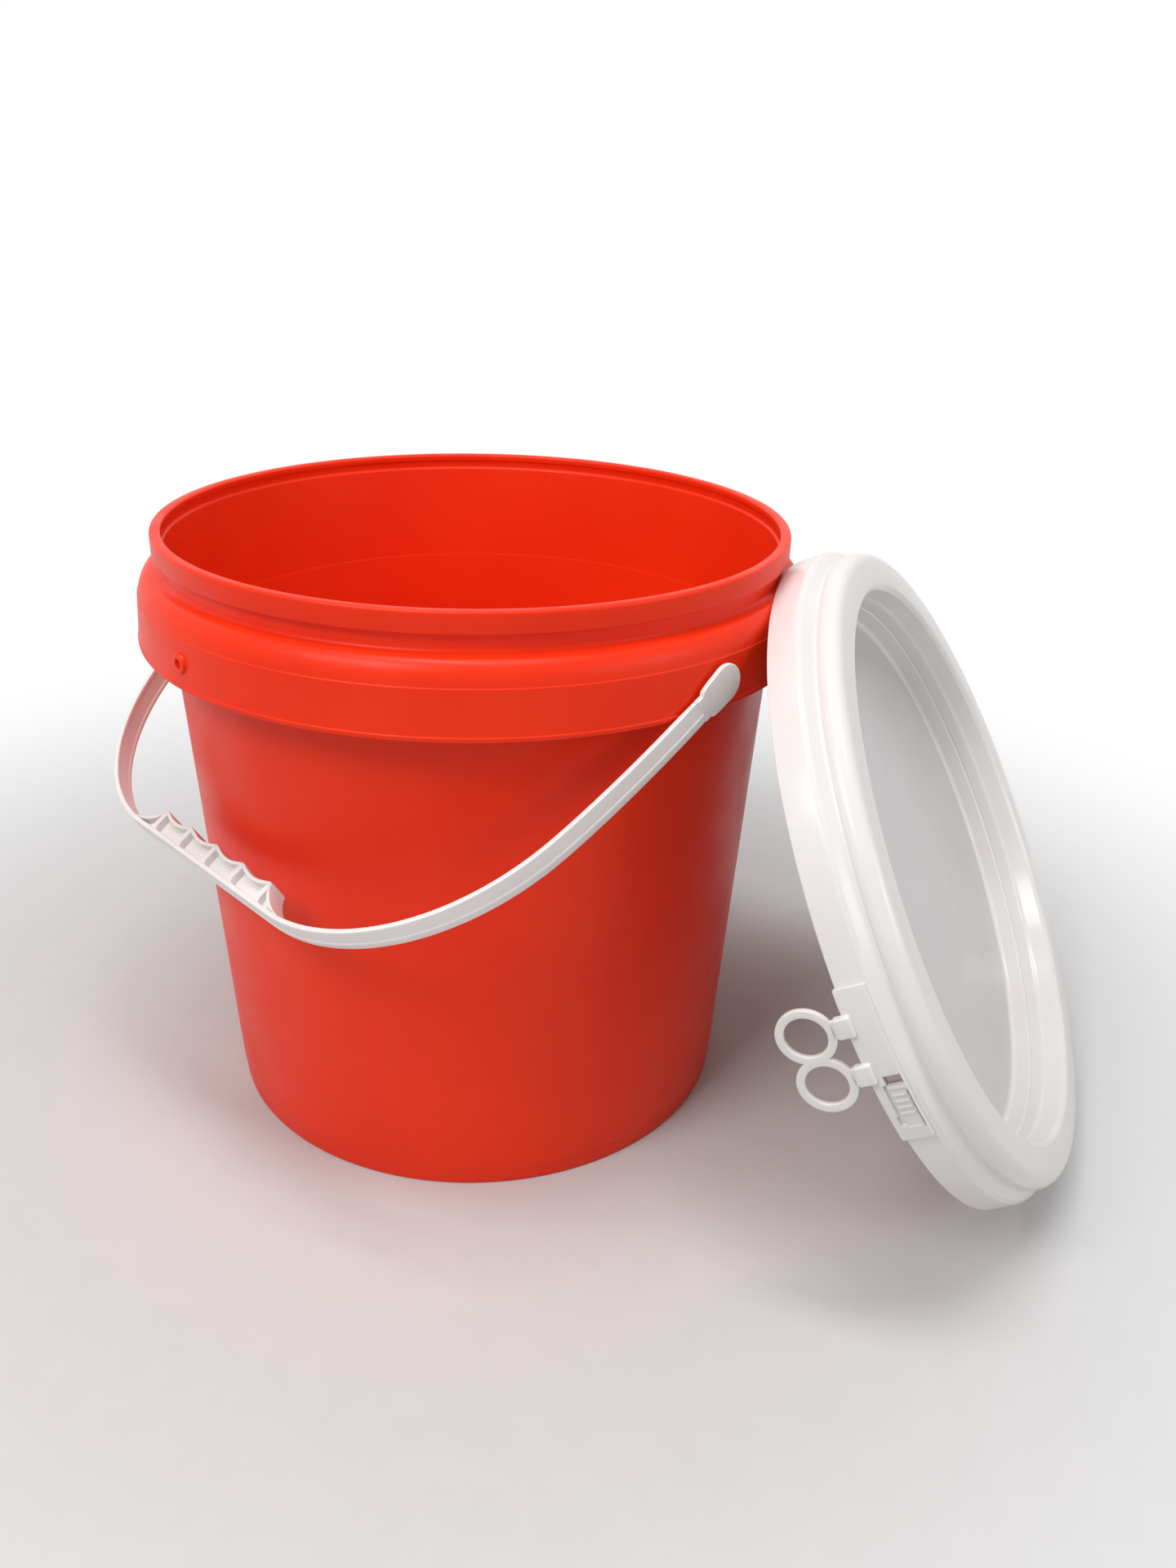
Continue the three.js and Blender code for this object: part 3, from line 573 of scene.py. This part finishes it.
def lid_matrix():
    """Leans the lid: its lower edge on the floor and its upper edge just off the pail's neck."""
    tilt = math.asin((BEAD_BOTTOM - LEAN_DROP) / (2 * LID_R))
    out = Vector((math.cos(LID_TURN), math.sin(LID_TURN), 0))
    side = Vector((-math.sin(LID_TURN), math.cos(LID_TURN), 0))
    up = Vector((0, 0, 1))
    axis = out * math.sin(tilt) + up * math.cos(tilt)
    slope = out * math.cos(tilt) - up * math.sin(tilt)
    at = out * (NECK_R + LEAN_GAP + LID_R * math.cos(tilt)) + side * LID_ASIDE
    at.z = LID_R * math.sin(tilt)
    return basis(slope, side, axis, at)


LID_M = lid_matrix()


def lid_line():
    """Outline of the lid: along its underside to the skirt's edge, then back over its top."""
    band = LID_R - BAND_IN
    groove = GROOVE_R - LID_WALL
    top = LID_H - LID_WALL
    pts = [(0, PANEL_UNDER, 0), (DISH_R, PANEL_UNDER, 1.2), (DISH_R + 2.2, 4.6, 1.5),
           (PLUG_R, top - 1.7, 0), (PLUG_R, top, 1.4), (FLANGE_R, top, 1.5),
           (groove, 19, 1.2), (groove - 2, 17.2, 0.8), (groove, 15.5, 0.8),
           (band - LID_WALL, BAND_H - LID_WALL, 1.2), (LID_R - LID_WALL, 0, 0.3), (LID_R, 0, 0.45),
           (band, BAND_H - 0.1, 0.45), (band - 0.5, BAND_H + 0.55, 0.3),
           (band - 0.9, BAND_H + 1.6, 0.8), (band - 2.4, BAND_H + 2.6, 0.8)]
    pts += curve2((band - 2.9, BAND_H + 3.0), (GROOVE_R, 15.9), (GROOVE_R, 17.2), 6)
    pts += curve2((136.95, 17.5), (138.3, 18.8), (137.7, 21.6), 6)
    pts += curve2((137.5, 22.0), (136.3, 25.95), (FLANGE_R, 26.25), 10)
    pts += curve2((132.2, 26.28), (127.5, 26.7), (122.6, 26.3), 8)
    pts += curve2((122.3, 26.27), (121.1, 26.1), (119.9, 24.3), 6)
    pts += [(DISH_R + 0.8, 17.3, 0.8), (DISH_R + 0.1, 16.2, 0.8), (DISH_R, 11.1, 0.25),
            (DISH_R + 0.35, 10.7, 0.2), (DISH_R - 0.35, 10.1, 0.25), (DISH_R - 0.5, 4.6, 0.3)]
    pts += curve2((DISH_R - 0.5, 4.4), (DISH_R - 0.6, PANEL_TOP), (DISH_R - 2.4, PANEL_TOP), 6)
    pts += [(0, PANEL_TOP, 0)]
    return rounded(pts)


def on_band(angle, radius):
    """Place on the tear band: x runs round it, y up the lid's axis and z outwards."""
    out = Vector((math.cos(rad(angle)), math.sin(rad(angle)), 0))
    around = Vector((-math.sin(rad(angle)), math.cos(rad(angle)), 0))
    return LID_M @ basis(around, (0, 0, 1), out, out * radius)


def band_box(name, angle, width, low, high, r0, r1, edge=0.0):
    """Straight block on the band, between two heights and two distances from the lid's axis."""
    loop = [(-width / 2, low), (width / 2, low), (width / 2, high), (-width / 2, high)]
    place = on_band(angle, (r0 + r1) / 2)
    return plate(name, [loop], r1 - r0, max(edge, 0.001), place, 2 if edge else 0)


def sector(name, a0, a1, low, high, r0, r1, edge, steps=48):
    """Curved block on the band, between two angles."""
    loop = arc(0, 0, r1, a0, a1, steps) + arc(0, 0, r0, a1, a0, steps)
    place = LID_M @ mm_matrix(Matrix.Translation((0, 0, (low + high) / 2)))
    return plate(name, [loop], high - low, edge, place, 2)


def window():
    """Cutter for the latch's window, through the band and the pad."""
    return band_box("window", WINDOW_AT, WINDOW_WIDTH, 3.9, 10.4, LID_R - 6.8, PAD_R + CUT_OUT)


def make_pad():
    """Thick pad on the tear band, with the slots and the pocket round its tongue."""
    pad = sector("pad", PAD_START, PAD_END, -0.9, 10.9, LID_R - 1.5, PAD_R, 0.3, 64)
    cut(pad, [window()])
    through = LID_R - 2
    cuts = [("slot", -84.7, -77.2, 2.5, 3.9, through), ("slot", -83.6, -76.2, 9.7, 10.5, through),
            ("pocket", -78.9, -76.9, 1.7, 4.4, through), ("tongue", -83.9, -76.6, 3.8, 9.8, PAD_R - 0.7)]
    for name, start, end, low, high, depth in cuts:
        cut(pad, [sector(name, start, end, low, high, depth, PAD_R + CUT_OUT, CUT_EDGE)])
    smooth(pad, DETAIL_SHARP)
    return pad


def ring_loops():
    """Outline of the two fused rings and their holes."""
    meet = math.degrees(math.acos(RING_OFF / RING_R))
    left = arc(-RING_OFF, 0, RING_R, meet, 360 - meet, RING_STEPS)
    right = arc(RING_OFF, 0, RING_R, 180 + meet, 540 - meet, RING_STEPS)
    return [left + right[1:-1], circle(-RING_OFF, 0, RING_HOLE_R), circle(RING_OFF, 0, RING_HOLE_R)]


def make_pull():
    """The ribs on the tongue, and the pull rings on their tabs."""
    parts = []
    for i in range(RIBS):
        angle = RIB_AT + RIB_PITCH * i
        parts.append(band_box("rib", angle, RIB_WIDTH, 4.1, 9.4, PAD_R - 1.0, PAD_R, 0.3))
    place = on_band(PULL_AT, LID_R + RING_THICKNESS / 2)
    down = mm_matrix(Matrix.Translation((0, RING_Y, 0)))
    parts.append(plate("rings", ring_loops(), RING_THICKNESS, 0.5, place @ down, 4))
    block_place = on_band(PULL_AT, LID_R + BLOCK_OUT)
    foot = RING_Y + 9.6
    for side in (-1, 1):
        x = side * TAB_OFF + TAB_SHIFT
        x0, x1 = x - TAB_HALF, x + TAB_HALF
        tab = [(x - TAB_IN, foot), (x1, foot), (x1, 0), (x - TAB_IN, 0)]
        parts.append(plate("tab", [tab], RING_THICKNESS, 0.5, place, 3))
        block = rounded([(x0, -1, 0), (x0, -4.1, 0.8), (x1, -4.1, 0.8),
                         (x1, 2.2, 0.8), (x0, 2.2, 0.8), (x0, -1, 0)], 3)
        parts.append(plate("tab_block", [block[:-1]], BLOCK_THICKNESS, 0.7, block_place, 4))
    detail = join("tear_tab", parts)
    smooth(detail, FINE_SHARP)
    return detail


def make_lid():
    shell = lathe("lid_shell", lid_line(), matrix=LID_M)
    cut(shell, [window()])
    smooth(shell, SHELL_SHARP)
    return [shell, make_pad(), make_pull()]


# Helpers for materials

def nodes_for(name):
    mat = bpy.data.materials.new(name)
    mat.use_nodes = True
    nt = mat.node_tree
    return mat, nt, nt.nodes["Principled BSDF"]


def linear(channel):
    """One colour channel from 0 to 255 as linear light."""
    c = channel / 255
    return c / 12.92 if c <= 0.04045 else ((c + 0.055) / 1.055) ** 2.4


def srgb(r, g, b):
    return (linear(r), linear(g), linear(b), 1)


def object_place(nt):
    return nt.nodes.new("ShaderNodeTexCoord").outputs["Object"]


def noise(nt, place, scale, detail):
    node = nt.nodes.new("ShaderNodeTexNoise")
    node.inputs["Scale"].default_value = scale
    node.inputs["Detail"].default_value = detail
    nt.links.new(place, node.inputs["Vector"])
    return node.outputs["Fac"]


def spread(nt, value, start, end, low, high, kind="LINEAR"):
    """Maps start to low and end to high, and holds both beyond them."""
    node = nt.nodes.new("ShaderNodeMapRange")
    node.interpolation_type = kind
    node.inputs["From Min"].default_value = start
    node.inputs["From Max"].default_value = end
    node.inputs["To Min"].default_value = low
    node.inputs["To Max"].default_value = high
    nt.links.new(value, node.inputs["Value"])
    return node.outputs["Result"]


def calc(nt, operation, first, second):
    """Math node on two links."""
    node = nt.nodes.new("ShaderNodeMath")
    node.operation = operation
    nt.links.new(first, node.inputs[0])
    nt.links.new(second, node.inputs[1])
    return node.outputs[0]


def vector_calc(nt, operation, place, fixed):
    """Vector node on a link and a fixed vector."""
    node = nt.nodes.new("ShaderNodeVectorMath")
    node.operation = operation
    node.inputs[1].default_value = fixed
    nt.links.new(place, node.inputs[0])
    return node.outputs[0]


def length(nt, place):
    node = nt.nodes.new("ShaderNodeVectorMath")
    node.operation = "LENGTH"
    nt.links.new(place, node.inputs[0])
    return node.outputs["Value"]


def mix_shaders(nt, share, first, second, output):
    """Blends two shader nodes into the surface of an output node."""
    mix = nt.nodes.new("ShaderNodeMixShader")
    nt.links.new(share, mix.inputs["Fac"])
    nt.links.new(first.outputs[0], mix.inputs[1])
    nt.links.new(second.outputs[0], mix.inputs[2])
    nt.links.new(mix.outputs[0], nt.nodes[output].inputs["Surface"])


# Materials

CLOUD_SCALE = 14
RUB_SCALE = 45
FLOW_SCALE = 22
SKIN_SCALE = 900
FLOW_SHARE = 1.5
NOISE_LOW = 0.3
NOISE_HIGH = 0.7
RELIEF = 0.0001
PLASTIC_IOR = 1.49
WHITE_DEPTH = (0.003, 0.0025, 0.0025)
RED_DEPTH = (0.005, 0.0009, 0.0004)

# Painted shade on the lid's middle panel: its strength, its grey, and the distances from the lid's axis,
# in metres, where it is full and where it ends.
PANEL_SHADE = 0.42
PANEL_SHADE_TONE = srgb(188, 189, 196)
PANEL_SHADE_FULL = 0.1135
PANEL_SHADE_NONE = 0.1165


def moulded(name, light, dark, rough, bump, sss, depth, spec):
    """Moulded plastic: cloudy colour, fine skin, faint flow and rubbed marks."""
    mat, nt, bsdf = nodes_for(name)
    place = object_place(nt)
    ramp = nt.nodes.new("ShaderNodeValToRGB")
    ramp.color_ramp.elements[0].position = NOISE_LOW
    ramp.color_ramp.elements[0].color = dark
    ramp.color_ramp.elements[1].position = NOISE_HIGH
    ramp.color_ramp.elements[1].color = light
    nt.links.new(noise(nt, place, CLOUD_SCALE, 4), ramp.inputs["Fac"])
    nt.links.new(ramp.outputs["Color"], bsdf.inputs["Base Color"])
    rubbed = noise(nt, place, RUB_SCALE, 6)
    roughness = spread(nt, rubbed, NOISE_LOW, NOISE_HIGH, rough - 0.05, rough + 0.06)
    nt.links.new(roughness, bsdf.inputs["Roughness"])
    height = nt.nodes.new("ShaderNodeMath")
    height.operation = "MULTIPLY_ADD"
    height.inputs[1].default_value = FLOW_SHARE
    nt.links.new(noise(nt, place, FLOW_SCALE, 2), height.inputs[0])
    nt.links.new(noise(nt, place, SKIN_SCALE, 3), height.inputs[2])
    surface = nt.nodes.new("ShaderNodeBump")
    surface.inputs["Strength"].default_value = bump
    surface.inputs["Distance"].default_value = RELIEF
    nt.links.new(height.outputs[0], surface.inputs["Height"])
    nt.links.new(surface.outputs["Normal"], bsdf.inputs["Normal"])
    bsdf.inputs["Subsurface Weight"].default_value = sss
    bsdf.inputs["Subsurface Radius"].default_value = depth
    bsdf.inputs["Subsurface Scale"].default_value = 1.0
    bsdf.inputs["Specular IOR Level"].default_value = spec
    bsdf.inputs["IOR"].default_value = PLASTIC_IOR
    return mat


def paint_panel_shade(mat):
    """Painted shade: multiplies the colour of the panel in the middle of the lid by a grey, so that it
    looks greyer.
    """
    nt = mat.node_tree
    bsdf = nt.nodes["Principled BSDF"]
    was = bsdf.inputs["Base Color"].links[0].from_socket
    from_middle = vector_calc(nt, "SUBTRACT", object_place(nt), LID_M.translation)
    from_axis = length(nt, vector_calc(nt, "CROSS_PRODUCT", from_middle, LID_M.to_3x3().col[2]))
    # Multiplies the panel's colour by the grey: painted shade.
    mix = nt.nodes.new("ShaderNodeMixRGB")
    mix.blend_type = "MULTIPLY"
    mix.inputs["Color2"].default_value = PANEL_SHADE_TONE
    nt.links.new(spread(nt, from_axis, PANEL_SHADE_FULL, PANEL_SHADE_NONE, PANEL_SHADE, 0), mix.inputs["Fac"])
    nt.links.new(was, mix.inputs["Color1"])
    nt.links.new(mix.outputs["Color"], bsdf.inputs["Base Color"])


red = moulded("red_pp", srgb(246, 55, 17), srgb(238, 47, 12),
              rough=0.38, bump=0.12, sss=0.08, depth=RED_DEPTH, spec=0.2)
white = moulded("white_pp", srgb(237, 233, 231), srgb(230, 226, 224),
                rough=0.33, bump=0.1, sss=0.1, depth=WHITE_DEPTH, spec=0.5)
lidmat = moulded("lid_pp", srgb(233, 230, 228), srgb(227, 223, 221),
                 rough=0.2, bump=0.05, sss=0.1, depth=WHITE_DEPTH, spec=0.4)
# Paints shade into the colour of the lid's middle panel.
paint_panel_shade(lidmat)


def dressed(objects, mat):
    for ob in objects:
        ob.data.materials.clear()
        ob.data.materials.append(mat)
    return objects


for ob in dressed(make_pail(), red):
    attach(ob, "pail")
    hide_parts("bucket")
for ob in dressed(make_bail(), white):
    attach(ob, "bail")
    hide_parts("bail_handle")
for ob in dressed(make_lid(), lidmat):
    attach(ob, "pail")
    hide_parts("lid")


# Floor, backdrop, light and camera, in metres

FLOOR_HALF = 6.0
FLOOR_ROUGH = 0.8
FLOOR_DARK = 0.6
FLOOR_LIGHT = 0.64
GRAIN_SCALE = 60
FADE_START = 0.2
FADE_END = 0.62
WORLD_COLOUR = (0.94, 0.93, 0.92, 1)
WORLD_STRENGTH = 0.34

FOCAL_PX = 1629.46
FRAME_PX = 1920
SENSOR_MM = 36
CAMERA_TURN = rad(50.79)
YAW = rad(5.20)
PITCH = rad(25.06)
ROLL = rad(1.73)
CAMERA_BACK = 0.56601
CAMERA_UP = 0.40204


def seen_rays(nt):
    """1 for the rays that see the backdrop: camera, glossy and transmission. 0 for the rest."""
    path = nt.nodes.new("ShaderNodeLightPath")
    seen = path.outputs["Is Camera Ray"]
    for ray in ("Is Glossy Ray", "Is Transmission Ray"):
        seen = calc(nt, "MAXIMUM", seen, path.outputs[ray])
    return seen


def make_floor():
    """Grey floor that catches the shadows and fades to the white backdrop."""
    h = FLOOR_HALF
    mesh = bpy.data.meshes.new("floor")
    mesh.from_pydata([(-h, -h, 0), (h, -h, 0), (h, h, 0), (-h, h, 0)], [], [(0, 1, 2, 3)])
    floor = bpy.data.objects.new("floor", mesh)
    col.objects.link(floor)
    mat, nt, bsdf = nodes_for("floor")
    bsdf.inputs["Roughness"].default_value = FLOOR_ROUGH
    place = object_place(nt)
    tone = spread(nt, noise(nt, place, GRAIN_SCALE, 5), 0, 1, FLOOR_DARK, FLOOR_LIGHT)
    nt.links.new(tone, bsdf.inputs["Base Color"])
    fade = spread(nt, length(nt, place), FADE_START, FADE_END, 0, 1, "SMOOTHSTEP")
    glow = nt.nodes.new("ShaderNodeEmission")
    glow.inputs["Strength"].default_value = 1
    mix_shaders(nt, calc(nt, "MULTIPLY", fade, seen_rays(nt)), bsdf, glow, "Material Output")
    mesh.materials.append(mat)


def make_world():
    """Soft light from all round, with plain white where the world itself is seen."""
    world = bpy.data.worlds.new("world")
    bpy.context.scene.world = world
    world.use_nodes = True
    nt = world.node_tree
    soft = nt.nodes["Background"]
    soft.inputs["Color"].default_value = WORLD_COLOUR
    soft.inputs["Strength"].default_value = WORLD_STRENGTH
    plain = nt.nodes.new("ShaderNodeBackground")
    plain.inputs["Color"].default_value = (1, 1, 1, 1)
    plain.inputs["Strength"].default_value = 1
    mix_shaders(nt, seen_rays(nt), soft, plain, "World Output")


def area(name, at, target, size, power):
    light = bpy.data.lights.new(name, "AREA")
    light.shape = "RECTANGLE"
    light.size, light.size_y = size
    light.energy = power
    ob = bpy.data.objects.new(name, light)
    ob.location = at
    ob.rotation_euler = (Vector(target) - Vector(at)).to_track_quat("-Z", "Y").to_euler()
    col.objects.link(ob)


def make_camera():
    """Camera fitted to the photo, first aimed in its own turned frame."""
    data = bpy.data.cameras.new("camera")
    data.sensor_fit = "VERTICAL"
    data.sensor_height = SENSOR_MM
    data.lens = FOCAL_PX * SENSOR_MM / FRAME_PX
    data.clip_start = 0.01
    ahead = Vector((math.sin(YAW) * math.cos(PITCH), math.cos(YAW) * math.cos(PITCH), -math.sin(PITCH)))
    level = ahead.cross(Vector((0, 0, 1))).normalized()
    upright = level.cross(ahead)
    right = level * math.cos(ROLL) + upright * math.sin(ROLL)
    above = upright * math.cos(ROLL) - level * math.sin(ROLL)
    turn = Matrix.Rotation(CAMERA_TURN, 3, "Z")
    look = Matrix((turn @ right, turn @ above, -(turn @ ahead))).transposed().to_4x4()
    look.translation = turn @ Vector((0, -CAMERA_BACK, CAMERA_UP))
    camera = bpy.data.objects.new("camera", data)
    camera.matrix_world = look
    col.objects.link(camera)
    bpy.context.scene.camera = camera


make_floor()
make_world()
area("key", (0.15, -1.5, 1.8), (0.05, 0, 0.15), (0.9, 0.7), 22.3)
area("top", (0.15, -0.2, 2.0), (0.05, 0.02, 0.15), (1.1, 0.3), 16.5)
area("fill", (1.8, 0.6, 1.0), (0.1, 0, 0.15), (1.0, 0.5), 6)
make_camera()
bpy.context.scene.view_settings.view_transform = "Standard"
